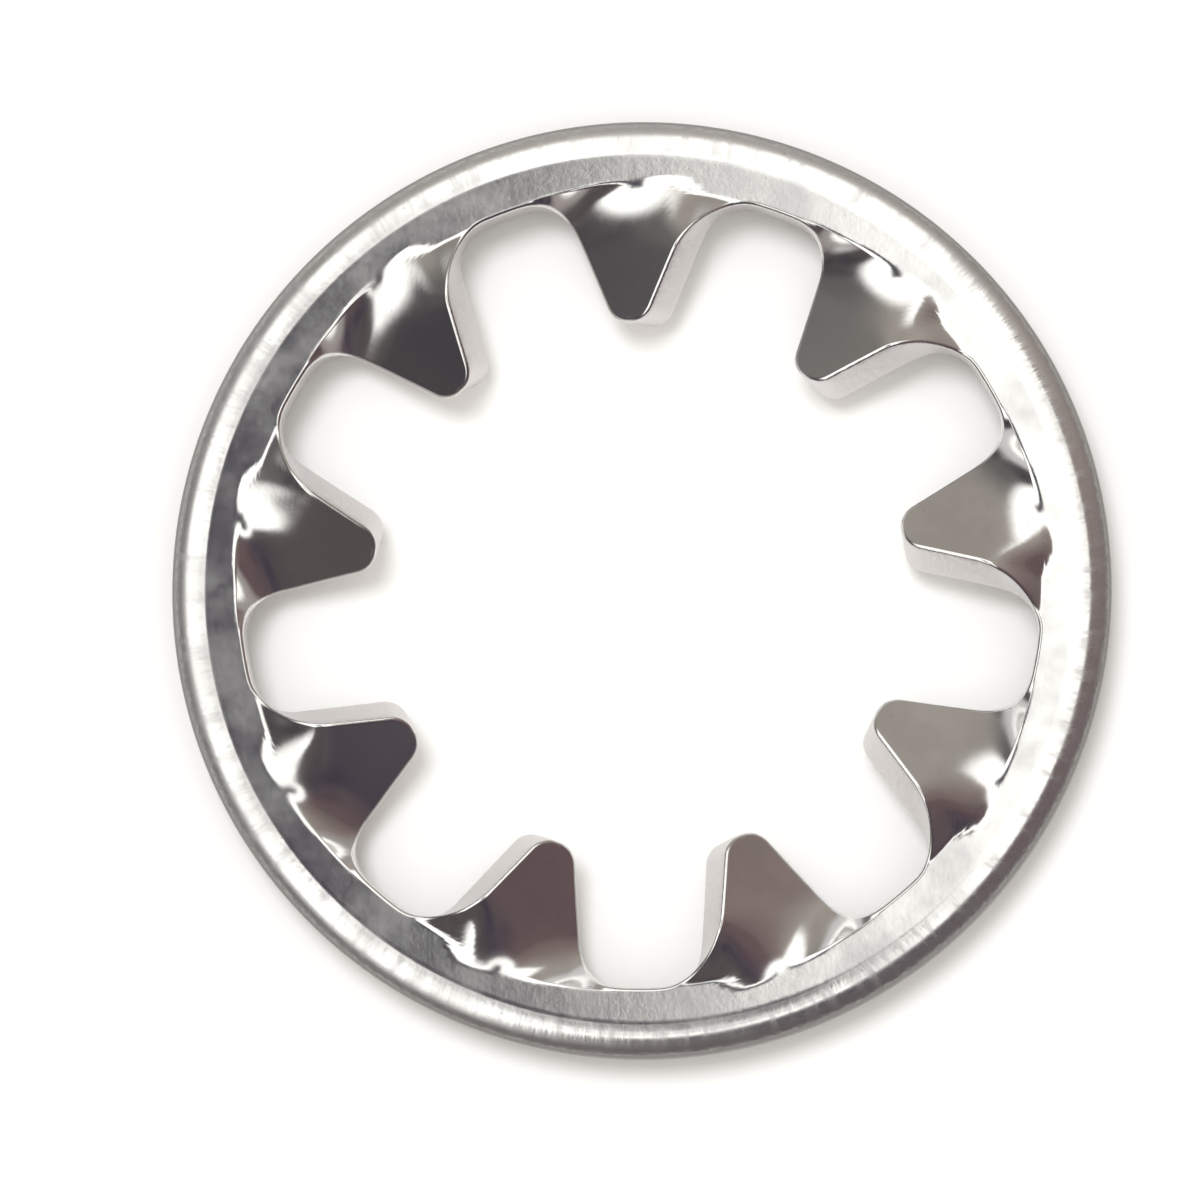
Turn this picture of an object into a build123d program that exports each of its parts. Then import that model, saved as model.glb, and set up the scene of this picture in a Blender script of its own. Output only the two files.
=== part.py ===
from build123d import *
import math
import os

# Internal-tooth lock washer, stamped from one piece of spring steel sheet.
# Origin at the centre of the washer, halfway through the sheet; +Z is the axis of the bolt.
# Millimetres and degrees.

# --- the ring ---------------------------------------------------------------------------------
OUTER_DIAMETER = 18.0
RING_WIDTH = 1.35             # from the outside in to the bottoms of the gaps
SHEET_THICKNESS = 0.9
ROLLED_EDGE_WIDTH = 0.6       # crowned outer border of the top face
ROLLED_EDGE_DROP = 0.34       # how far the crown falls by the outer wall
LOWER_EDGE_BREAK = 0.08       # softened outer edge of the bottom face

# --- the teeth, as they are in the flat blank ---------------------------------------------------
TOOTH_COUNT = 9
FIRST_TOOTH_ANGLE = 10.0
TIP_CIRCLE_DIAMETER = 10.2    # clears the 10 mm bolt
TOOTH_ROOT_WIDTH = 2.99       # between the flanks, on the circle of the gap bottoms
TOOTH_TIP_WIDTH = 0.72        # between the flanks, at the tip circle
TIP_CORNER_RADIUS = 0.5
GAP_CORNER_RADIUS = 0.9

# --- the twist --------------------------------------------------------------------------------
TWIST_ANGLE = 28.0            # the clockwise flank of each tooth stands up by this angle
TWIST_INTO_RING = 0.25        # how far outside the gap bottoms the ring begins to give
TWIST_INTO_TOOTH = 0.85       # how far inside its root the tooth has its whole twist
BEND_FADE = 1.1               # at a root's sides, the width over which the ring's bend dies out

SECTION_POINTS = 3            # places on each side of the axis that a section's curve passes
BEND_SECTION_COUNT = 3
ROOT_SECTION_COUNT = 4

OUTER_RADIUS = OUTER_DIAMETER / 2
GAP_ROOT_RADIUS = OUTER_RADIUS - RING_WIDTH
TIP_RADIUS = TIP_CIRCLE_DIAMETER / 2
HALF_SHEET = SHEET_THICKNESS / 2
PITCH = 360.0 / TOOTH_COUNT

# A flank is the straight line y = FLANK_SLOPE * x + FLANK_OFFSET beside the tooth's own x axis.
ROOT_CHORD = math.sqrt(GAP_ROOT_RADIUS**2 - (TOOTH_ROOT_WIDTH / 2) ** 2)
FLANK_SLOPE = (TOOTH_ROOT_WIDTH - TOOTH_TIP_WIDTH) / 2 / (ROOT_CHORD - TIP_RADIUS)
FLANK_OFFSET = TOOTH_TIP_WIDTH / 2 - FLANK_SLOPE * TIP_RADIUS


def gap_corner_centre():
    """Centre of the arc that joins a flank to the circle of the gap bottoms."""
    lift = FLANK_OFFSET + GAP_CORNER_RADIUS * math.hypot(1, FLANK_SLOPE)
    reach = GAP_ROOT_RADIUS - GAP_CORNER_RADIUS
    a = 1 + FLANK_SLOPE**2
    b = 2 * FLANK_SLOPE * lift
    c = lift**2 - reach**2
    x = (-b + math.sqrt(b * b - 4 * a * c)) / (2 * a)
    return x, FLANK_SLOPE * x + lift


CORNER_X, CORNER_Y = gap_corner_centre()
CORNER_REACH = GAP_ROOT_RADIUS / (GAP_ROOT_RADIUS - GAP_CORNER_RADIUS)
ROOT_X = CORNER_X * CORNER_REACH            # where the gap corner's arc meets the gap bottom
ROOT_HALF_WIDTH = CORNER_Y * CORNER_REACH
FLANK_END_X = CORNER_X + GAP_CORNER_RADIUS * FLANK_SLOPE / math.hypot(1, FLANK_SLOPE)
TWIST_START = GAP_ROOT_RADIUS + TWIST_INTO_RING
TWIST_END = ROOT_X - TWIST_INTO_TOOTH


def half_width(x):
    """Half the width of the flat tooth at a distance x from the washer's centre."""
    if x <= FLANK_END_X:
        return FLANK_SLOPE * x + FLANK_OFFSET
    return CORNER_Y - math.sqrt(GAP_CORNER_RADIUS**2 - (x - CORNER_X) ** 2)


def eased(share):
    """Smooth step from 0 to 1, level at both ends."""
    share = min(max(share, 0.0), 1.0)
    return share * share * (3 - 2 * share)


def turn_at(x, y):
    """Angle in radians that the sheet has turned by at a place beside the tooth's axis."""
    whole = math.radians(TWIST_ANGLE) * eased((TWIST_START - x) / (TWIST_START - TWIST_END))
    held = eased((abs(y) - ROOT_HALF_WIDTH + BEND_FADE) / BEND_FADE)
    freed = eased((ROOT_X - x) / TWIST_INTO_TOOTH)
    return whole * (1 - held * (1 - freed))


def bent_point(x, y, z):
    """Where a point of the flat sheet goes: the clockwise side of the tooth, -y, rises."""
    turn = turn_at(x, y)
    return x, y * math.cos(turn) + z * math.sin(turn), z * math.cos(turn) - y * math.sin(turn)


def bent_face_line(x, half, z):
    """One face's line across the bent sheet at x, cut to half on both sides of the axis."""
    steps = 2 * SECTION_POINTS
    shares = [index / steps for index in range(steps + 1)]
    points = [bent_point(x, ROOT_HALF_WIDTH * (2 * share - 1), z) for share in shares]
    reach = half / ROOT_HALF_WIDTH / 2
    return Spline(*points).trim(0.5 - reach, 0.5 + reach)


def bent_section(x, half):
    """The bent sheet's section across the tooth's axis at x, as a face."""
    top = bent_face_line(x, half, HALF_SHEET)
    bottom = bent_face_line(x, half, -HALF_SHEET)
    return make_face([top, Line(top @ 1, bottom @ 1), bottom, Line(bottom @ 0, top @ 0)])


def make_ring():
    """Ring with a crowned outer border, solid from the gap bottoms out."""
    crown_radius = (ROLLED_EDGE_WIDTH**2 + ROLLED_EDGE_DROP**2) / (2 * ROLLED_EDGE_DROP)
    sweep = math.asin(ROLLED_EDGE_WIDTH / crown_radius)
    crown_start = OUTER_RADIUS - ROLLED_EDGE_WIDTH
    crown_centre = HALF_SHEET - crown_radius
    crown_middle = (
        crown_start + crown_radius * math.sin(sweep / 2),
        crown_centre + crown_radius * math.cos(sweep / 2),
    )
    outline = [
        Line((GAP_ROOT_RADIUS, -HALF_SHEET), (GAP_ROOT_RADIUS, HALF_SHEET)),
        Line((GAP_ROOT_RADIUS, HALF_SHEET), (crown_start, HALF_SHEET)),
        ThreePointArc(
            (crown_start, HALF_SHEET),
            crown_middle,
            (OUTER_RADIUS, HALF_SHEET - ROLLED_EDGE_DROP),
        ),
        Polyline(
            (OUTER_RADIUS, HALF_SHEET - ROLLED_EDGE_DROP),
            (OUTER_RADIUS, LOWER_EDGE_BREAK - HALF_SHEET),
            (OUTER_RADIUS - LOWER_EDGE_BREAK, -HALF_SHEET),
            (GAP_ROOT_RADIUS, -HALF_SHEET),
        ),
    ]
    return revolve(Plane.XZ * make_face(outline), Axis.Z)


def make_bend_pocket():
    """Block of the ring at a tooth's root, whose place the bent sheet takes."""
    length = TWIST_START - ROOT_X
    block = Box(length, 2 * ROOT_HALF_WIDTH, 2 * SHEET_THICKNESS)
    return Pos(ROOT_X + length / 2, 0, 0) * block


def spaced(start, end, count):
    """Evenly spaced places along the tooth's axis, both ends included."""
    return [start + (end - start) * index / (count - 1) for index in range(count)]


def make_bend():
    """The ring's own metal at a tooth's root, bent with it, down to the round gap corners."""
    places = spaced(TWIST_START, ROOT_X, BEND_SECTION_COUNT)
    bend = loft([bent_section(x, ROOT_HALF_WIDTH) for x in places])
    corner = Cylinder(GAP_CORNER_RADIUS, 2 * SHEET_THICKNESS)
    return bend.cut(*[Pos(CORNER_X, side * CORNER_Y, 0) * corner for side in (-1, 1)])


def make_root():
    """The tooth's root, which turns from the ring's plane to the blade's."""
    places = spaced(ROOT_X, TWIST_END, ROOT_SECTION_COUNT)
    return loft([bent_section(x, half_width(x)) for x in places])


def make_blade():
    """The tilted flat end of the tooth, with its tip corners rounded."""
    turn = math.radians(TWIST_ANGLE)
    tilted = Plane(origin=(0, 0, 0), x_dir=(1, 0, 0), z_dir=(0, math.sin(turn), math.cos(turn)))
    tip_half = TOOTH_TIP_WIDTH / 2
    root_half = half_width(TWIST_END)
    corners = [
        (TWIST_END, -root_half),
        (TIP_RADIUS, -tip_half),
        (TIP_RADIUS, tip_half),
        (TWIST_END, root_half),
    ]
    outline = make_face(Polyline(*corners, close=True))
    tip_corners = outline.vertices().sort_by(Axis.X)[:2]
    outline = fillet(tip_corners, TIP_CORNER_RADIUS)
    return extrude(tilted * outline, HALF_SHEET, both=True)


def make_lock_washer():
    """The ring with all its teeth, fused into one solid."""
    turns = [Rot(0, 0, FIRST_TOOTH_ANGLE + index * PITCH) for index in range(TOOTH_COUNT)]
    pocket = make_bend_pocket()
    ring = make_ring().cut(*[turn * pocket for turn in turns])
    tooth = [make_bend(), make_root(), make_blade()]
    return ring.fuse(*[turn * piece for turn in turns for piece in tooth])


os.makedirs("parts", exist_ok=True)
export_step(make_lock_washer(), "parts/lock_washer.step")
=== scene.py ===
"""Internal-tooth lock washer, dressed in bright plated spring steel.

The ring and its nine twisted teeth are one stamped and bent sheet. One sector of that sheet,
with one tooth, is laid out flat and bent by rule, and a Geometry Nodes tree turns it round the
bolt's axis. Sizes inside the classes are in millimetres; meshes are written in metres.
"""

import logging
import math
from dataclasses import dataclass, field
from enum import Enum

import bpy
from mathutils import Matrix, Vector


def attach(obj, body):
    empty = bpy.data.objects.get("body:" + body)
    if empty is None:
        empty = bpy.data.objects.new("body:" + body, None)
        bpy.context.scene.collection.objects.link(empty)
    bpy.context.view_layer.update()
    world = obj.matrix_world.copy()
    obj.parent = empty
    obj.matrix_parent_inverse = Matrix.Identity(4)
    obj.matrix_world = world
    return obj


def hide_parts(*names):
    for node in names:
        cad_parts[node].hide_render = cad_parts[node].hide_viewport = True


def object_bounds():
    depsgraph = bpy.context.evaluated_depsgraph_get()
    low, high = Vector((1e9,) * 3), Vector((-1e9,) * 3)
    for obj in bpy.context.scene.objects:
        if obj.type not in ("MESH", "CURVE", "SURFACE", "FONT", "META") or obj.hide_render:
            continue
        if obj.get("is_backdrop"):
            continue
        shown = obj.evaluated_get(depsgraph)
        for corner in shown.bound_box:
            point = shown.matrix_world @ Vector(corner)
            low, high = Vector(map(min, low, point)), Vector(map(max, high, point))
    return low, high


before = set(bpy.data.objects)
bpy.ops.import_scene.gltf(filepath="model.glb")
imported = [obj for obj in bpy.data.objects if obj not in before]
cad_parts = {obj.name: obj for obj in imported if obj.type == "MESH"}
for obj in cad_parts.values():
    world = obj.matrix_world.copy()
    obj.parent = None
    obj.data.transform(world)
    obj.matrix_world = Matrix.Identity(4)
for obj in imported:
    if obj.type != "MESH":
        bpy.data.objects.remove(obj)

MM = 0.001
LOG = logging.getLogger("lock_washer")

Point = tuple[float, float, float]
Colour = tuple[float, float, float, float]


class Face(Enum):
    """The two faces of the sheet."""

    TOP = 1
    BOTTOM = -1


def eased(share: float) -> float:
    """Smooth step from 0 to 1, level at both ends."""
    share = min(max(share, 0.0), 1.0)
    return share * share * (3 - 2 * share)


@dataclass(frozen=True)
class Outline:
    """One place on the cut outline of the flat blank.

    Args:
        x: Distance along the tooth's own axis.
        y: Distance to the left of that axis.
        nx: First part of the direction that points out of the metal.
        ny: Second part of that direction.
        ring: Whether the place belongs to the ring, which stays flat.
    """

    x: float
    y: float
    nx: float
    ny: float
    ring: bool = False

    def inset(self, depth: float) -> tuple[float, float]:
        """The place that lies this deep in the metal."""
        return self.x - self.nx * depth, self.y - self.ny * depth


@dataclass
class Blank:
    """The flat blank of one sector: half a gap, one tooth and half a gap, with its bend.

    Args:
        outer_radius: Radius of the washer.
        ring_width: Width of the ring outside the gaps.
        sheet: Thickness of the steel.
        tooth_count: How many teeth the ring has.
        tip_radius: Radius of the circle that the tips lie on.
        root_width: Width of a tooth at the gap circle, before its corners are rounded.
        tip_width: Width of a tooth at its tip, before its corners are rounded.
        tip_corner_radius: Rounding of the tip's corners.
        corner_radius: Rounding of the gap's corners.
        root_twist: Degrees that the tooth is turned by at its root.
        tip_twist: Degrees that it is turned by at its tip.
        raised_bend: Radii where the bend starts and ends on the raised side.
        lowered_bend: Radii where it starts and ends on the lowered side.
        side_blend: Share of the root's half width where one side's bend passes into the other's.
        crease: How sharply the bend starts on the lowered side, as an exponent.
        corner_delay: How much further in the bend starts at the raised corner.
        corner_from: Distance from the tooth's axis where that delay begins.
        corner_blend: Distance over which the delay grows to the whole.
        freed_length: Length over which the tooth comes free of the flat ring.
        bend_fade: Width over which the bend fades towards the gap's corners.
        tip_steps: Places on one rounded corner of the tip.
        flank_steps: Places on the straight flank.
        corner_steps: Places on one rounded corner of the gap.
        gap_steps: Places on half of the gap's outer arc.
    """

    outer_radius: float = 9.0
    ring_width: float = 1.35
    sheet: float = 0.9
    tooth_count: int = 9
    tip_radius: float = 5.1
    root_width: float = 2.99
    tip_width: float = 0.72
    tip_corner_radius: float = 0.5
    corner_radius: float = 0.9
    root_twist: float = 25.5
    tip_twist: float = 29.0
    raised_bend: tuple[float, float] = (7.97, 6.5)
    lowered_bend: tuple[float, float] = (7.737, 6.6)
    side_blend: float = 0.6
    crease: float = 2.2
    corner_delay: float = 0.34
    corner_from: float = 0.65
    corner_blend: float = 0.5
    freed_length: float = 1.0
    bend_fade: float = 1.1
    tip_steps: int = 9
    flank_steps: int = 14
    corner_steps: int = 12
    gap_steps: int = 7

    def __post_init__(self) -> None:
        """Works out the flank line and the round corners of the gap."""
        self.gap_radius = self.outer_radius - self.ring_width
        chord = math.sqrt(self.gap_radius**2 - (self.root_width / 2) ** 2)
        self.slope = (self.root_width - self.tip_width) / 2 / (chord - self.tip_radius)
        offset = self.tip_width / 2 - self.slope * self.tip_radius
        lift = offset + self.corner_radius * math.hypot(1, self.slope)
        reach = self.gap_radius - self.corner_radius
        a, b, c = 1 + self.slope**2, 2 * self.slope * lift, lift**2 - reach**2
        self.corner_x = (-b + math.sqrt(b * b - 4 * a * c)) / (2 * a)
        self.corner_y = self.slope * self.corner_x + lift
        self.root_x = self.corner_x * self.gap_radius / reach
        self.root_half = self.corner_y * self.gap_radius / reach

    def outline(self) -> list[Outline]:
        """The left half of the cut outline, from the middle of the tip to the middle of a gap."""
        flank = math.degrees(math.atan2(1, -self.slope))
        half = self.tip_width / 2
        tip_round = self.tip_corner_radius
        tangent = tip_round * math.tan(math.radians(180 - flank) / 2)
        tip_y = half - tangent
        places = [Outline(self.tip_radius, 0.0, -1.0, 0.0)]
        centre_x = self.tip_radius + tip_round
        for step in range(self.tip_steps + 1):
            turn = math.radians(180 + (flank - 180) * step / self.tip_steps)
            nx, ny = math.cos(turn), math.sin(turn)
            x, y = centre_x + tip_round * nx, tip_y + tip_round * ny
            places.append(Outline(x, y, nx, ny))
        start = places[-1]
        end_turn = math.radians(flank - 180)
        end_x = self.corner_x + self.corner_radius * math.cos(end_turn)
        end_y = self.corner_y + self.corner_radius * math.sin(end_turn)
        for step in range(1, self.flank_steps):
            share = step / self.flank_steps
            x = start.x + (end_x - start.x) * share
            y = start.y + (end_y - start.y) * share
            places.append(Outline(x, y, start.nx, start.ny))
        last_turn = math.atan2(self.root_half, self.root_x)
        for step in range(self.corner_steps + 1):
            turn = end_turn + (last_turn - end_turn) * step / self.corner_steps
            nx, ny = -math.cos(turn), -math.sin(turn)
            x = self.corner_x - self.corner_radius * nx
            y = self.corner_y - self.corner_radius * ny
            places.append(Outline(x, y, nx, ny))
        gap_end = math.pi / self.tooth_count
        for step in range(1, self.gap_steps + 1):
            turn = last_turn + (gap_end - last_turn) * step / self.gap_steps
            nx, ny = -math.cos(turn), -math.sin(turn)
            places.append(Outline(-self.gap_radius * nx, -self.gap_radius * ny, nx, ny, True))
        return places

    def tooth_length(self) -> int:
        """How many places of the outline belong to the tooth, its gap corner's end among them."""
        return self.tip_steps + self.flank_steps + self.corner_steps + 2

    def turn_at(self, x: float, y: float, ring: bool) -> float:
        """Angle that the sheet has turned by at a place.

        Args:
            x: Distance along the tooth's own axis.
            y: Distance to the left of that axis.
            ring: Whether the place belongs to the ring.

        Returns:
            The angle about the tooth's axis, in radians.
        """
        lowered = eased((y / self.root_half + self.side_blend) / (2 * self.side_blend))
        start = self.raised_bend[0] + (self.lowered_bend[0] - self.raised_bend[0]) * lowered
        start -= self.corner_delay * eased((-y - self.corner_from) / self.corner_blend)
        end = self.raised_bend[1] + (self.lowered_bend[1] - self.raised_bend[1]) * lowered
        share = min(max((start - math.hypot(x, y)) / (start - end), 0.0), 1.0)
        # The lowered side starts with a crease and the raised side with a soft curve.
        creased = 1 - (1 - share) ** self.crease
        curved = (eased(share) + 1 - (1 - share) ** 2) / 2
        gone = creased * lowered + curved * (1 - lowered)
        # The sheet beside the gap's corners is held flat until it is clear of the ring.
        held = eased((abs(y) - self.root_half + self.bend_fade) / self.bend_fade)
        freed = 0.0 if ring else eased((self.root_x - x) / self.freed_length)
        along = min(max((self.root_x - x) / (self.root_x - self.tip_radius), 0.0), 1.0)
        whole = math.radians(self.root_twist + (self.tip_twist - self.root_twist) * along)
        return whole * gone * (1 - held * (1 - freed))

    def bent(self, x: float, y: float, z: float, ring: bool) -> Point:
        """Where a place of the flat blank goes: the clockwise side of the tooth rises."""
        turn = self.turn_at(x, y, ring)
        c, s = math.cos(turn), math.sin(turn)
        return x, y * c + z * s, z * c - y * s


@dataclass
class SectorMesh:
    """Mesh of one sector of the washer: two faces, cut walls, soft edges and a crowned rim.

    Args:
        blank: The flat blank and its bend.
        top_roll: Radius of the soft upper edge of the gaps.
        bottom_roll: Radius of their lower edge.
        margin: Width of the flat strip inside a soft edge, which keeps its shading apart.
        cut_fade: How soon the sheared look ends on a soft edge, as a multiple of its length.
        roll_steps: Faces across a soft edge.
        wall_steps: Faces down a cut wall.
        columns: Faces across the tooth.
        ring_steps: Radii of the flat ring's rows, closer together where the bend starts.
        under_steps: Radii of the underside's outer rows.
        crown_start: Radius where the flat top ends and the crown begins.
        crown_lead: How far inside and outside that radius the first slope lies.
        crown_dip: Depth of the crown's first row.
        crown_tilts: Slope in degrees at the crown's start and at its knee.
        crown_knee: Radius where the crown turns into the rolled edge.
        crown_steps: Rows over the crown.
        knee_tilt: Degrees that the slope gains at the knee.
        edge_drop: Height of the rolled edge.
        edge_steps: Rows round the rolled edge.
        wall_rows: Heights of the plain outer wall's rows.
        low_edge: Radius of the outer lower edge.
        low_lead: Height of the wall's last row above that edge.
        low_steps: Rows round the outer lower edge.
        shaded_wall_from: Depth below the top where the outer wall, darkened as painted shade,
            starts.
        shaded_wall_blend: Height over which it starts.
    """

    blank: Blank = field(default_factory=Blank)
    top_roll: float = 0.07
    bottom_roll: float = 0.035
    margin: float = 0.015
    cut_fade: float = 1.6
    roll_steps: int = 6
    wall_steps: int = 5
    columns: int = 26
    ring_steps: tuple[float, ...] = (7.745, 7.80, 7.86, 7.91, 7.96, 8.02, 8.08, 8.16, 8.25)
    under_steps: tuple[float, ...] = (8.8, 8.6, 8.4)
    crown_start: float = 8.34
    crown_lead: tuple[float, float] = (0.02, 0.01)
    crown_dip: float = 0.002
    crown_tilts: tuple[float, float] = (5.1, 5.8)
    crown_knee: float = 8.58
    crown_steps: int = 8
    knee_tilt: float = 2.0
    edge_drop: float = 0.30
    edge_steps: int = 10
    wall_rows: tuple[float, ...] = (-0.05, -0.2)
    low_edge: float = 0.08
    low_lead: float = 0.02
    low_steps: int = 5
    shaded_wall_from: float = 0.07
    shaded_wall_blend: float = 0.13

    def __post_init__(self) -> None:
        """Starts with an empty list of corners and faces."""
        self.corners: list[Point] = []
        self.cut: list[float] = []
        self.rim: list[float] = []
        self.faces: list[list[int]] = []

    def corner(
        self, x: float, y: float, z: float, ring: bool, cut: float = 0.0, rim: float = 0.0
    ) -> int:
        """Adds one corner of the mesh.

        Args:
            x: Place along the tooth's axis in the flat blank.
            y: Place beside that axis.
            z: Height from the middle of the sheet.
            ring: Whether the place belongs to the ring.
            cut: How much of it is the sheared wall of a gap rather than rolled face.
            rim: How much of it is the outer wall, which is darkened as painted shade.

        Returns:
            The number of the corner.
        """
        self.corners.append(self.blank.bent(x, y, z, ring))
        self.cut.append(cut)
        self.rim.append(rim)
        return len(self.corners) - 1

    def face(self, side: Face, ids: list[int]) -> None:
        """Adds one face, which is given counter-clockwise as seen from above."""
        self.faces.append(ids if side is Face.TOP else ids[::-1])

    def strip(self, side: Face, low: list[int], high: list[int]) -> None:
        """Joins two rows of corners by quads; seen from above, high is left of low's direction."""
        for a, b, c, d in zip(low, low[1:], high[1:], high):
            self.face(side, [a, b, c, d])

    def full_outline(self) -> list[Outline]:
        """The whole cut outline, from the right gap round the tip to the left gap."""
        left = self.blank.outline()
        right = [Outline(p.x, -p.y, p.nx, -p.ny, p.ring) for p in left[:0:-1]]
        return right + left

    def edge_band(self, side: Face, roll: float) -> list[list[int]]:
        """Soft edge along the cut outline, from the wall in to the flat face."""
        half = self.blank.sheet / 2
        steps = []
        for step in range(self.roll_steps + 1):
            turn = math.radians(90) * step / self.roll_steps
            cut = max(0.0, 1 - self.cut_fade * step / self.roll_steps)
            steps.append((roll * (1 - math.cos(turn)), half - roll + roll * math.sin(turn), cut))
        steps.append((roll + self.margin, half, 0.0))
        rows = []
        for depth, height, cut in steps:
            places = [(p.inset(depth), p.ring) for p in self.full_outline()]
            row = [self.corner(x, y, side.value * height, ring, cut) for (x, y), ring in places]
            rows.append(row)
        for low, high in zip(rows, rows[1:]):
            self.strip(side, high, low)
        return rows

    def tooth_face(self, side: Face, edge: list[int], roll: float) -> list[int]:
        """Face of the tooth inside its soft edge.

        Args:
            side: Which face of the sheet.
            edge: Innermost row of the soft edge.
            roll: Width of the soft edge.

        Returns:
            The row of corners on the gap circle, from the right side of the tooth to the left.
        """
        blank = self.blank
        outline = blank.outline()
        count = blank.tooth_length()
        middle = len(outline) - 1
        half = side.value * blank.sheet / 2
        radius = blank.gap_radius + roll + self.margin
        first_bowed = count - blank.corner_steps - 1
        previous = [edge[middle]]
        for index in range(1, count):
            x, y = outline[index].inset(roll + self.margin)
            bow = eased((index - first_bowed) / (count - 1 - first_bowed))
            row = [edge[middle - index]]
            for column in range(1, self.columns):
                across = y * (2 * column / self.columns - 1)
                rise = math.sqrt(radius**2 - across**2) - math.sqrt(radius**2 - y**2)
                row.append(self.corner(x + bow * rise, across, half, False))
            row.append(edge[middle + index])
            if len(previous) == 1:
                for a, b in zip(row, row[1:]):
                    self.face(side, [previous[0], a, b])
            else:
                self.strip(side, row, previous)
            previous = row
        return previous

    def rim_profile(self) -> list[tuple[float, float]]:
        """Radius and height along the ring's rim, from the flat top over the crown to below."""
        half = self.blank.sheet / 2
        outer = self.blank.outer_radius
        inside, outside = self.crown_lead
        points = [
            (self.crown_start - inside, half),
            (self.crown_start + outside, half - self.crown_dip),
        ]
        first, last = self.crown_tilts
        for step in range(1, self.crown_steps + 1):
            share = step / self.crown_steps
            radius = self.crown_start + (self.crown_knee - self.crown_start) * share
            tilt = math.radians(first + (last - first) * share)
            points.append((radius, points[-1][1] - (radius - points[-1][0]) * math.tan(tilt)))
        knee_r, knee_z = points[-1]
        start = math.radians(last + self.knee_tilt)
        for step in range(1, self.edge_steps + 1):
            turn = start + (math.pi / 2 - start) * step / self.edge_steps
            out = (math.sin(turn) - math.sin(start)) / (1 - math.sin(start))
            down = (math.cos(start) - math.cos(turn)) / math.cos(start)
            points.append((knee_r + (outer - knee_r) * out, knee_z - self.edge_drop * down))
        low = self.low_edge
        points += [(outer, z) for z in (*self.wall_rows, low - half + self.low_lead)]
        for step in range(1, self.low_steps + 1):
            turn = math.pi / 2 * step / self.low_steps
            points.append((outer - low * (1 - math.cos(turn)), low - half - low * math.sin(turn)))
        return points

    def ring_angles(self) -> list[float]:
        """Angles of the ring's columns, from the right gap over the tooth to the left gap."""
        outline = self.blank.outline()
        count = self.blank.tooth_length()
        depth = self.top_roll + self.margin
        gap = [math.atan2(p.y, p.x) for p in outline[count:]]
        reach = outline[count - 1].inset(depth)[1]
        radius = self.blank.gap_radius + depth
        shares = [2 * column / self.columns - 1 for column in range(self.columns + 1)]
        return [-a for a in gap[::-1]] + [math.asin(reach * s / radius) for s in shares] + gap

    def ring_rows(self, top: list[int], bottom: list[int]) -> None:
        """Ring from the gap circle out, over the rim and back in below."""
        half = self.blank.sheet / 2
        outward = [(r, half) for r in self.ring_steps]
        inward = [(r, -half) for r in (*self.under_steps, *self.ring_steps[::-1])]
        previous = top
        for radius, z in outward + self.rim_profile() + inward:
            places = [(radius * math.cos(a), radius * math.sin(a)) for a in self.ring_angles()]
            # Share of the outer wall below the crown, which the material darkens as painted shade
            # and roughens.
            rim = eased((half - z - self.shaded_wall_from) / self.shaded_wall_blend)
            row = [self.corner(x, y, z, True, 0.0, rim) for x, y in places]
            self.strip(Face.TOP, row, previous)
            previous = row
        self.strip(Face.TOP, bottom, previous)

    def walls(self, top: list[int], bottom: list[int]) -> None:
        """Sheared wall between the two soft edges."""
        half = self.blank.sheet / 2
        high, low = half - self.top_roll, self.bottom_roll - half
        previous = top
        for step in range(1, self.wall_steps):
            z = high + (low - high) * step / self.wall_steps
            row = [self.corner(p.x, p.y, z, p.ring, 1.0) for p in self.full_outline()]
            self.strip(Face.TOP, previous, row)
            previous = row
        self.strip(Face.TOP, previous, bottom)

    def build(self) -> bpy.types.Object:
        """Makes the sector's mesh object, which lies along the X axis."""
        sheets = {}
        for side, roll in ((Face.TOP, self.top_roll), (Face.BOTTOM, self.bottom_roll)):
            bands = self.edge_band(side, roll)
            inner = bands[-1]
            tooth = self.tooth_face(side, inner, roll)
            gap = self.blank.gap_steps
            circle = inner[:gap] + tooth + inner[len(inner) - gap :]
            sheets[side] = (bands[0], circle)
        self.walls(sheets[Face.TOP][0], sheets[Face.BOTTOM][0])
        self.ring_rows(sheets[Face.TOP][1], sheets[Face.BOTTOM][1])
        mesh = bpy.data.meshes.new("washer_sector")
        mesh.from_pydata([tuple(v * MM for v in c) for c in self.corners], [], self.faces)
        for name, values in (("sheared", self.cut), ("shaded_outer_wall", self.rim)):
            attribute = mesh.attributes.new(name, "FLOAT", "POINT")
            attribute.data.foreach_set("value", values)
        mesh.update()
        return bpy.data.objects.new("washer_sector", mesh)


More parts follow.
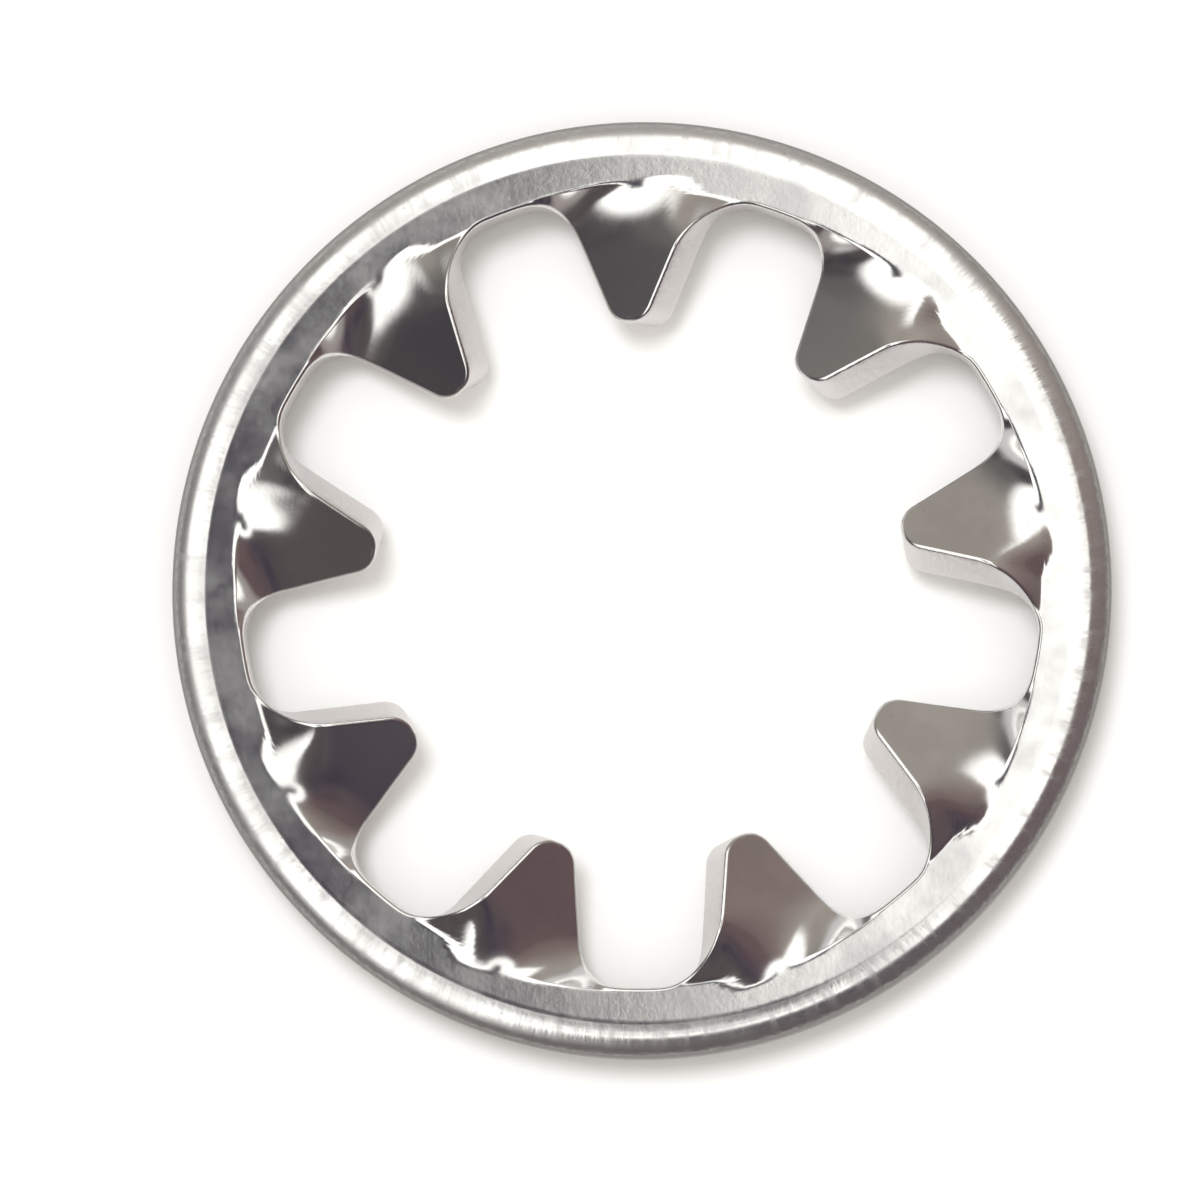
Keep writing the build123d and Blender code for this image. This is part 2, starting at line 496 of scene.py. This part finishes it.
class Shader:
    """Short way to add and join the nodes of one tree."""

    def __init__(self, tree: bpy.types.NodeTree) -> None:
        """Keeps the tree and clears it."""
        self.tree = tree
        tree.nodes.clear()

    def add(self, kind: str, *inputs: object, **settings: object) -> bpy.types.Node:
        """Adds a node.

        Args:
            kind: The node's type name.
            inputs: What its inputs get, in order: a socket, a value or None to leave it.
            settings: The node's own properties.

        Returns:
            The new node.
        """
        node = self.tree.nodes.new(kind)
        for name, value in settings.items():
            setattr(node, name, value)
        for index, value in enumerate(inputs):
            self.feed(node.inputs[index], value)
        return node

    def feed(self, socket: bpy.types.NodeSocket, value: object) -> None:
        """Links a socket to another, or sets its value."""
        if isinstance(value, bpy.types.NodeSocket):
            self.tree.links.new(value, socket)
        elif value is not None:
            socket.default_value = value

    def math(self, operation: str, *inputs: object) -> object:
        """Adds a Math node and returns its result."""
        return self.add("ShaderNodeMath", *inputs, operation=operation).outputs[0]

    def step(self, value: object, low: float, high: float) -> object:
        """Smooth step of a value from 0 at low to 1 at high; low may be above high."""
        node = self.add("ShaderNodeMapRange", value, interpolation_type="SMOOTHSTEP")
        if low < high:
            self.feed(node.inputs[1], low)
            self.feed(node.inputs[2], high)
            return node.outputs[0]
        self.feed(node.inputs[1], high)
        self.feed(node.inputs[2], low)
        return self.math("SUBTRACT", 1.0, node.outputs[0])

    def mix(self, share: object, first: object, second: object) -> object:
        """Mixes two colours and returns the result."""
        node = self.add("ShaderNodeMix", data_type="RGBA")
        self.feed(node.inputs[0], share)
        self.feed(node.inputs[6], first)
        self.feed(node.inputs[7], second)
        return node.outputs[2]

    def noise(self, vector: object, scale: float, detail: float, rough: float) -> object:
        """Adds a Noise Texture and returns its grey value."""
        node = self.add("ShaderNodeTexNoise")
        for name, value in (("Vector", vector), ("Scale", scale), ("Detail", detail)):
            self.feed(node.inputs[name], value)
        node.inputs["Roughness"].default_value = rough
        return node.outputs[0]


@dataclass(frozen=True)
class PlatedSteel:
    """Bright plated spring steel: rolled faces, draw streaks on the crown, sheared walls.

    Args:
        bright: Colour of the clean plating.
        dull: Colour where the plating is thinner and greyer.
        sheared: Colour of the gaps' cut walls.
        shaded_outer_wall: Colour of the outer wall: painted shade, as if the wall lay in shadow.
        smooth: Roughness of the clean faces.
        torn: Roughness of the cut walls.
        rolled: Roughness added where the outer edge is rolled over.
        speck: Colour of the few dark specks.
        streak_radii: Radii between which the draw streaks come in.
        roll_radii: Radii between which the rolled edge's roughness comes in.
        streak_scale: How fine the draw streaks are around the ring and across it.
        tear_scale: How fine the cut walls' tears are along the wall and down it.
        relief: Depths of the tumbled mottle, the draw streaks and the torn walls.
    """

    bright: Colour = (0.80, 0.79, 0.77, 1.0)
    dull: Colour = (0.62, 0.61, 0.60, 1.0)
    sheared: Colour = (0.64, 0.615, 0.61, 1.0)
    # Painted shade: the outer wall is darkened to stand in for the wall in shadow.
    shaded_outer_wall: Colour = (0.21, 0.20, 0.195, 1.0)
    smooth: float = 0.10
    torn: float = 0.34
    rolled: float = 0.16
    speck: Colour = (0.30, 0.29, 0.28, 1.0)
    streak_radii: tuple[float, float] = (8.31, 8.51)
    roll_radii: tuple[float, float] = (8.60, 8.78)
    streak_scale: tuple[float, float] = (34.0, 0.9)
    tear_scale: tuple[float, float] = (9.0, 1.1)
    relief: tuple[float, float, float] = (0.0009, 0.005, 0.02)

    def build(self) -> bpy.types.Material:
        """Makes the material."""
        material = bpy.data.materials.new("plated_steel")
        material.use_nodes = True
        shade = Shader(material.node_tree)
        place = shade.add("ShaderNodeTexCoord").outputs["Object"]
        place = shade.add("ShaderNodeVectorMath", place, operation="SCALE")
        place.inputs["Scale"].default_value = 1 / MM
        mm = place.outputs[0]
        x, y, _ = shade.add("ShaderNodeSeparateXYZ", mm).outputs
        squares = shade.math("MULTIPLY_ADD", x, x, shade.math("MULTIPLY", y, y))
        radius = shade.math("SQRT", squares)
        sheared = shade.add("ShaderNodeAttribute", attribute_name="sheared").outputs["Fac"]
        shaded_outer_wall = shade.add("ShaderNodeAttribute", attribute_name="shaded_outer_wall").outputs["Fac"]
        crown = shade.step(radius, *self.streak_radii)

        clouds = shade.noise(mm, 0.55, 3.0, 0.55)
        patches = shade.step(clouds, 0.42, 0.66)
        tumbled = shade.noise(mm, 5.5, 3.0, 0.6)
        unit = shade.add("ShaderNodeVectorMath", mm, operation="NORMALIZE").outputs[0]
        flat = shade.add("ShaderNodeSeparateXYZ", unit).outputs
        around, across = self.streak_scale
        rays = shade.add(
            "ShaderNodeCombineXYZ",
            shade.math("MULTIPLY", flat[0], around),
            shade.math("MULTIPLY", flat[1], around),
            shade.math("MULTIPLY", radius, across),
        )
        streaks = shade.noise(rays.outputs[0], 1.0, 3.0, 0.62)
        along, down = self.tear_scale
        fibres = shade.add("ShaderNodeVectorMath", mm, (along, along, down), operation="MULTIPLY")
        tears = shade.noise(fibres.outputs[0], 1.0, 3.0, 0.6)
        specks = shade.step(shade.noise(mm, 11.0, 2.0, 0.5), 0.70, 0.80)

        colour = shade.mix(shade.math("MULTIPLY", patches, 0.55), self.bright, self.dull)
        lined = shade.math("MULTIPLY", shade.step(streaks, 0.46, 0.70), crown)
        colour = shade.mix(shade.math("MULTIPLY", lined, 0.6), colour, self.dull)
        colour = shade.mix(sheared, colour, self.sheared)
        # Painted shade: the outer wall is darkened as if it lay in shadow beside the table.
        colour = shade.mix(shaded_outer_wall, colour, self.shaded_outer_wall)
        colour = shade.mix(shade.math("MULTIPLY", specks, 0.5), colour, self.speck)

        rough = shade.math("ADD", self.smooth, shade.math("MULTIPLY", patches, 0.05))
        rough = shade.math("ADD", rough, shade.math("MULTIPLY", tumbled, 0.05))
        rough = shade.math("ADD", rough, shade.math("MULTIPLY", lined, 0.10))
        edge = shade.step(radius, *self.roll_radii)
        rough = shade.math("ADD", rough, shade.math("MULTIPLY", edge, self.rolled))
        walls = shade.math("MAXIMUM", sheared, shaded_outer_wall)
        torn = shade.math("MULTIPLY", shade.math("SUBTRACT", self.torn, rough), walls)
        rough = shade.math("ADD", rough, torn)

        mottle_depth, streak_depth, tear_depth = self.relief
        height = shade.math("MULTIPLY", tumbled, mottle_depth)
        drawn = shade.math("MULTIPLY", shade.math("MULTIPLY", streaks, crown), streak_depth)
        height = shade.math("ADD", height, drawn)
        ripped = shade.math("MULTIPLY", shade.math("MULTIPLY", tears, walls), tear_depth)
        height = shade.math("ADD", height, ripped)
        bump = shade.add("ShaderNodeBump")
        bump.inputs["Distance"].default_value = MM
        bump.inputs["Strength"].default_value = 1.0
        shade.feed(bump.inputs["Height"], height)

        steel = shade.add("ShaderNodeBsdfPrincipled")
        steel.inputs["Metallic"].default_value = 1.0
        shade.feed(steel.inputs["Base Color"], colour)
        shade.feed(steel.inputs["Roughness"], rough)
        shade.feed(steel.inputs["Normal"], bump.outputs[0])
        shade.add("ShaderNodeOutputMaterial", steel.outputs[0])
        return material


@dataclass
class Washer:
    """The whole washer: one sector with its tooth, turned round the bolt's axis.

    Args:
        sector: Mesh of one sector.
        first_angle: Degrees counter-clockwise from +X to the first tooth.
        weld_distance: Distance in millimetres below which the sectors' seams are welded.
        finish: The washer's surface.
    """

    sector: SectorMesh = field(default_factory=SectorMesh)
    first_angle: float = 10.0
    weld_distance: float = 0.002
    finish: PlatedSteel = field(default_factory=PlatedSteel)

    def tree(self) -> bpy.types.NodeTree:
        """Geometry Nodes tree that turns the sector round the axis and welds the seams."""
        tree = bpy.data.node_groups.new("teeth_round_the_ring", "GeometryNodeTree")
        for name, kind in (
            ("Sector", "NodeSocketObject"),
            ("Teeth", "NodeSocketInt"),
            ("First angle", "NodeSocketFloat"),
            ("Weld distance", "NodeSocketFloat"),
            ("Finish", "NodeSocketMaterial"),
        ):
            tree.interface.new_socket(name, in_out="INPUT", socket_type=kind)
        tree.interface.new_socket("Washer", in_out="OUTPUT", socket_type="NodeSocketGeometry")
        make = Shader(tree)
        given = make.add("NodeGroupInput").outputs
        sector = make.add("GeometryNodeObjectInfo", given["Sector"]).outputs["Geometry"]
        points = make.add("GeometryNodePoints", given["Teeth"])
        pitch = make.math("DIVIDE", math.tau, given["Teeth"])
        turn = make.math("MULTIPLY", make.add("GeometryNodeInputIndex").outputs[0], pitch)
        turn = make.math("ADD", turn, given["First angle"])
        spin = make.add("ShaderNodeCombineXYZ", None, None, turn)
        rotation = make.add("FunctionNodeEulerToRotation", spin.outputs[0])
        placed = make.add("GeometryNodeInstanceOnPoints")
        make.feed(placed.inputs["Points"], points.outputs[0])
        make.feed(placed.inputs["Instance"], sector)
        make.feed(placed.inputs["Rotation"], rotation.outputs[0])
        whole = make.add("GeometryNodeRealizeInstances", placed.outputs[0])
        weld = make.add("GeometryNodeMergeByDistance", whole.outputs[0])
        make.feed(weld.inputs["Distance"], given["Weld distance"])
        smooth = make.add("GeometryNodeSetShadeSmooth", weld.outputs[0])
        dressed = make.add("GeometryNodeSetMaterial", smooth.outputs[0])
        make.feed(dressed.inputs["Material"], given["Finish"])
        make.add("NodeGroupOutput", dressed.outputs[0])
        return tree

    def build(self) -> bpy.types.Object:
        """Makes the washer as one plain mesh."""
        sector = self.sector.build()
        bpy.context.scene.collection.objects.link(sector)
        tree = self.tree()
        holder = bpy.data.objects.new("washer_rule", bpy.data.meshes.new("washer_rule"))
        bpy.context.scene.collection.objects.link(holder)
        rule = holder.modifiers.new("teeth", "NODES")
        rule.node_group = tree
        values = {
            "Sector": sector,
            "Teeth": self.sector.blank.tooth_count,
            "First angle": math.radians(self.first_angle),
            "Weld distance": self.weld_distance * MM,
            "Finish": self.finish.build(),
        }
        for item in tree.interface.items_tree:
            if item.name in values:
                rule[item.identifier] = values[item.name]
        bpy.context.view_layer.update()
        evaluated = holder.evaluated_get(bpy.context.evaluated_depsgraph_get())
        mesh = bpy.data.meshes.new_from_object(evaluated)
        mesh.name = "washer"
        for spare in (holder, sector):
            bpy.data.objects.remove(spare)
        washer = bpy.data.objects.new("washer", mesh)
        bpy.context.scene.collection.objects.link(washer)
        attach(washer, "root")
        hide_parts("lock_washer")
        return washer


@dataclass(frozen=True)
class Table:
    """Plain pale floor that the washer lies on.

    Args:
        reach: Half its width, in metres.
        colour: Its colour.
        grain: Colour of its faint grain.
        grain_scale: How fine the grain is.
    """

    reach: float = 0.6
    colour: Colour = (0.90, 0.895, 0.885, 1.0)
    grain: Colour = (0.86, 0.85, 0.84, 1.0)
    grain_scale: float = 900.0

    def build(self, height: float) -> bpy.types.Object:
        """Makes the floor at this height."""
        mesh = bpy.data.meshes.new("table")
        r = self.reach
        corners = [(x, y, height) for x, y in ((-r, -r), (r, -r), (r, r), (-r, r))]
        mesh.from_pydata(corners, [], [(0, 1, 2, 3)])
        table = bpy.data.objects.new("table", mesh)
        material = bpy.data.materials.new("pale_table")
        material.use_nodes = True
        shade = Shader(material.node_tree)
        paper = shade.add("ShaderNodeBsdfPrincipled")
        place = shade.add("ShaderNodeTexCoord").outputs["Object"]
        fleck = shade.math("MULTIPLY", shade.noise(place, self.grain_scale, 3.0, 0.5), 0.05)
        shade.feed(paper.inputs["Base Color"], shade.mix(fleck, self.colour, self.grain))
        paper.inputs["Roughness"].default_value = 0.8
        paper.inputs["Specular IOR Level"].default_value = 0.1
        shade.add("ShaderNodeOutputMaterial", paper.outputs[0])
        mesh.materials.append(material)
        bpy.context.scene.collection.objects.link(table)
        table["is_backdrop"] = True
        return table


@dataclass(frozen=True)
class MirroredRoom:
    """The room that the plating mirrors: zones of tone that depend on direction alone.

    Args:
        window: Colour of the bright half of the room.
        clutter: Colour of the furniture along the walls.
        floor_far: Colour of the lowest zone on the window's side.
        floor_near: Colour of the lowest zone on the other side.
        ceiling_edge: Colour of the dark ceiling's border.
        ceiling: Colour of the dark part of the ceiling.
        window_side: Horizontal direction of the middle of the window.
        walls: Azimuth in degrees and colour of each stretch of the walls.
    """

    window: Colour = (1.5, 1.49, 1.46, 1.0)
    clutter: Colour = (0.20, 0.17, 0.155, 1.0)
    floor_far: Colour = (0.38, 0.345, 0.335, 1.0)
    floor_near: Colour = (0.70, 0.69, 0.69, 1.0)
    ceiling_edge: Colour = (0.24, 0.245, 0.22, 1.0)
    ceiling: Colour = (0.02, 0.015, 0.035, 1.0)
    window_side: tuple[float, float] = (0.866, -0.5)
    walls: tuple[tuple[float, Colour], ...] = (
        (0.0, (0.17, 0.13, 0.13, 1.0)),
        (20.0, (0.25, 0.19, 0.18, 1.0)),
        (60.0, (0.42, 0.39, 0.355, 1.0)),
        (100.0, (0.42, 0.39, 0.35, 1.0)),
        (140.0, (0.16, 0.155, 0.155, 1.0)),
        (180.0, (0.07, 0.065, 0.075, 1.0)),
        (220.0, (0.045, 0.04, 0.05, 1.0)),
        (260.0, (0.10, 0.085, 0.085, 1.0)),
        (300.0, (0.05, 0.04, 0.065, 1.0)),
        (340.0, (0.135, 0.088, 0.096, 1.0)),
    )

    def wall_tone(self, shade: Shader, x: object, y: object) -> object:
        """Tone of the walls by azimuth.

        Args:
            shade: The world's tree.
            x: First part of the direction.
            y: Second part of the direction.

        Returns:
            The socket with the colour.
        """
        azimuth = shade.math("DIVIDE", shade.math("ARCTAN2", y, x), math.tau)
        azimuth = shade.math("FRACT", shade.math("ADD", azimuth, 1.0))
        ramp = shade.add("ShaderNodeValToRGB", azimuth)
        stops = ramp.color_ramp.elements
        for index, (degrees, colour) in enumerate(self.walls):
            position = degrees / 360
            stop = stops[index] if index < 2 else stops.new(position)
            stop.position, stop.color = position, colour
        return ramp.outputs[0]

    def walled(self, shade: Shader, facing: object, west: object, z: object) -> object:
        """Where the walls are seen rather than the window.

        Args:
            shade: The world's tree.
            facing: How far the direction points to the window's side.
            west: How far it has passed to the other side, from 0 to 1.
            z: Height part of the direction.

        Returns:
            The socket with the share, from 0 to 1.
        """
        above = shade.math("MULTIPLY", shade.step(z, 0.973, 0.955), shade.step(facing, 0.03, 0.11))
        height = shade.math("MULTIPLY_ADD", west, -0.03, z)
        share = shade.math("MAXIMUM", shade.step(height, 0.80, 0.66), above)
        return shade.math("MULTIPLY", share, shade.step(z, 0.05, 0.17))

    def ceilinged(self, shade: Shader, x: object, y: object, z: object) -> tuple[object, object]:
        """Where the dark ceiling is seen.

        Args:
            shade: The world's tree.
            x: First part of the direction.
            y: Second part of the direction.
            z: Height part of the direction.

        Returns:
            The shares of the ceiling's border and of its dark part.
        """
        low_half = shade.step(y, 0.01, -0.04)
        limit = shade.math("MULTIPLY_ADD", low_half, -0.049, z)
        inside = shade.step(limit, 0.932, 0.948)
        over = shade.math("MULTIPLY", shade.step(x, -0.235, -0.185), inside)
        over = shade.math("MULTIPLY", over, shade.step(y, 0.24, 0.18))
        edge = shade.math("MULTIPLY_ADD", low_half, -0.11, x)
        dim = shade.math("MULTIPLY", shade.step(edge, -0.022, -0.046), over)
        dark = shade.math("MULTIPLY", shade.step(edge, -0.034, -0.060), over)
        return dim, dark

    def tone(self, shade: Shader) -> object:
        """Colour of the room in each direction, as the socket of a tree."""
        direction = shade.add("ShaderNodeTexCoord").outputs["Generated"]
        x, y, z = shade.add("ShaderNodeSeparateXYZ", direction).outputs
        towards_x, towards_y = self.window_side
        facing = shade.math("MULTIPLY_ADD", x, towards_x, shade.math("MULTIPLY", y, towards_y))
        west = shade.step(facing, -0.05, -0.30)
        walls = self.wall_tone(shade, x, y)
        clutter = shade.step(shade.noise(direction, 3.0, 2.0, 0.5), 0.36, 0.66)
        lower = shade.mix(0.25, walls, shade.mix(clutter, walls, self.clutter))
        floor = shade.mix(west, self.floor_far, self.floor_near)
        lower = shade.mix(shade.step(z, 0.44, 0.26), lower, floor)
        mirrored = shade.mix(self.walled(shade, facing, west, z), self.window, lower)
        dim, dark = self.ceilinged(shade, x, y, z)
        mirrored = shade.mix(dim, mirrored, self.ceiling_edge)
        return shade.mix(dark, mirrored, self.ceiling)


@dataclass(frozen=True)
class Studio:
    """Soft light and the room round the washer.

    Args:
        mirrored: The room that the plating mirrors.
        room: Strength of the even light of the room.
        room_colour: Colour of that light.
        backdrop: Strength of the plain white behind everything.
        key: Strength of the soft sun from the upper left.
        key_colour: Its colour.
        key_azimuth: Where the sun stands, in degrees counter-clockwise from +X.
        key_elevation: Its height above the table, in degrees.
        key_spread: Its apparent width in degrees, which softens the shadows.
        key_distance: Distance of the sun's own mark from the washer, in metres.
    """

    mirrored: MirroredRoom = field(default_factory=MirroredRoom)
    room: float = 0.97
    room_colour: Colour = (1.0, 0.96, 0.915, 1.0)
    backdrop: float = 1.1
    key: float = 1.45
    key_colour: tuple[float, float, float] = (0.93, 0.97, 1.0)
    key_azimuth: float = 120.0
    key_elevation: float = 72.0
    key_spread: float = 22.0
    key_distance: float = 0.3

    def world(self) -> None:
        """Makes the world: even light, a white backdrop and the room in the plating."""
        world = bpy.data.worlds.new("room")
        bpy.context.scene.world = world
        world.use_nodes = True
        shade = Shader(world.node_tree)
        rays = shade.add("ShaderNodeLightPath").outputs
        white = (1.0, 1.0, 1.0, 1.0)
        even = shade.add("ShaderNodeBackground", self.room_colour, self.room).outputs[0]
        seen = shade.add("ShaderNodeBackground", white, self.backdrop).outputs[0]
        mirror = shade.add("ShaderNodeBackground", self.mirrored.tone(shade), 1.0).outputs[0]
        first = shade.add("ShaderNodeMixShader", rays["Is Camera Ray"], even, seen).outputs[0]
        second = shade.add("ShaderNodeMixShader", rays["Is Glossy Ray"], first, mirror)
        shade.add("ShaderNodeOutputWorld", second.outputs[0])

    def sun(self) -> None:
        """Makes the soft key light."""
        lamp = bpy.data.lights.new("soft_key", "SUN")
        lamp.energy = self.key
        lamp.angle = math.radians(self.key_spread)
        lamp.color = self.key_colour
        key = bpy.data.objects.new("soft_key", lamp)
        key.visible_glossy = False
        azimuth, elevation = math.radians(self.key_azimuth), math.radians(self.key_elevation)
        flat = math.cos(elevation)
        towards = Vector((math.cos(azimuth) * flat, math.sin(azimuth) * flat, math.sin(elevation)))
        key.rotation_euler = towards.to_track_quat("Z", "Y").to_euler()
        key.location = towards * self.key_distance
        bpy.context.scene.collection.objects.link(key)

    def build(self) -> None:
        """Makes the world and the sun."""
        self.world()
        self.sun()


@dataclass(frozen=True)
class Viewpoint:
    """Camera nearly straight above the washer.

    Args:
        distance: Distance to the washer's plane, in millimetres.
        span: Width of that plane that the frame takes in, in millimetres.
        lean: Angle of the camera from the vertical, in degrees.
        lean_azimuth: Side towards which it leans, in degrees counter-clockwise from +X.
        aim: Place in the washer's plane at the middle of the frame, in millimetres.
        sensor: Width of the camera's sensor, in millimetres.
        clip: Nearest and furthest distance seen, in metres.
    """

    distance: float = 150.0
    span: float = 22.99
    lean: float = 5.5
    lean_azimuth: float = 300.0
    aim: tuple[float, float] = (-0.785, -0.21)
    sensor: float = 36.0
    clip: tuple[float, float] = (0.005, 5.0)

    def build(self) -> bpy.types.Object:
        """Makes the camera and gives it to the scene."""
        data = bpy.data.cameras.new("camera")
        data.sensor_width = self.sensor
        data.lens = data.sensor_width * self.distance / self.span
        data.clip_start, data.clip_end = self.clip
        lean, side = math.radians(self.lean), math.radians(self.lean_azimuth)
        flat = math.sin(lean)
        back = Vector((flat * math.cos(side), flat * math.sin(side), math.cos(lean)))
        right = Vector((0.0, 1.0, 0.0)).cross(back).normalized()
        up = back.cross(right)
        camera = bpy.data.objects.new("camera", data)
        place = Matrix((right, up, back)).transposed().to_4x4()
        place.translation = Vector((*self.aim, 0.0)) * MM + back * self.distance * MM
        camera.matrix_world = place
        bpy.context.scene.collection.objects.link(camera)
        bpy.context.scene.camera = camera
        return camera


def main() -> None:
    """Builds the washer, the table, the light and the camera."""
    logging.basicConfig(level=logging.INFO, format="%(name)s: %(message)s")
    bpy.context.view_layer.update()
    washer = Washer().build()
    LOG.info("%s: %d faces", washer.name, len(washer.data.polygons))
    Table().build(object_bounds()[0].z)
    Studio().build()
    Viewpoint().build()
    bpy.context.scene.view_settings.view_transform = "Standard"


if __name__ == "__main__":
    main()
